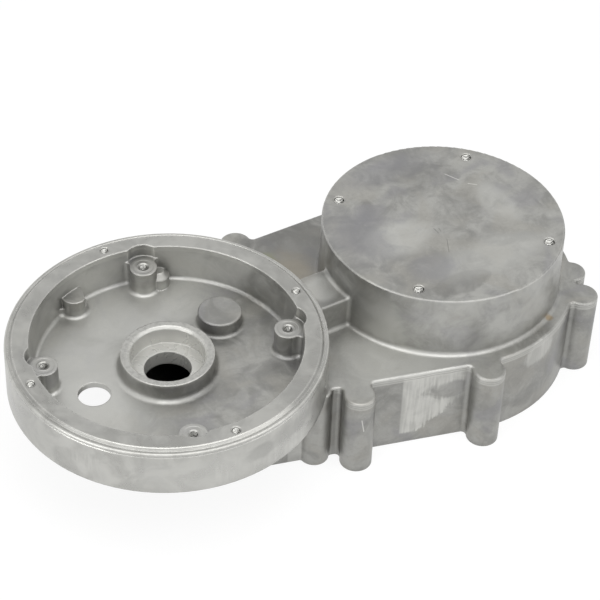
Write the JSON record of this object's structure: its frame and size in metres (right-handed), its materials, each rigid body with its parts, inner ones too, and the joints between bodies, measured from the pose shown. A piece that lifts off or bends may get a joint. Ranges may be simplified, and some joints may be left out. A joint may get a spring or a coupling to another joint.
{
  "type": "gear motor housing",
  "caption": "Die cast aluminium housing with a round motor dish, a bearing hub and a closed gear drum on one case, open at its parting face.",
  "frame": {"origin": "centre of the bearing seat's shoulder in the hub of the dish", "axes": "+Z along the bearing axis out of the dish, +X from the dish to the gear drum"},
  "size_m": [0.4052, 0.2094, 0.1045],
  "materials": {
    "cast_aluminium": "bare as cast, machined faces on the rim and in the hub"
  },
  "bodies": {
    "root": {"housing": "cast_aluminium"}
  },
  "joints": []
}
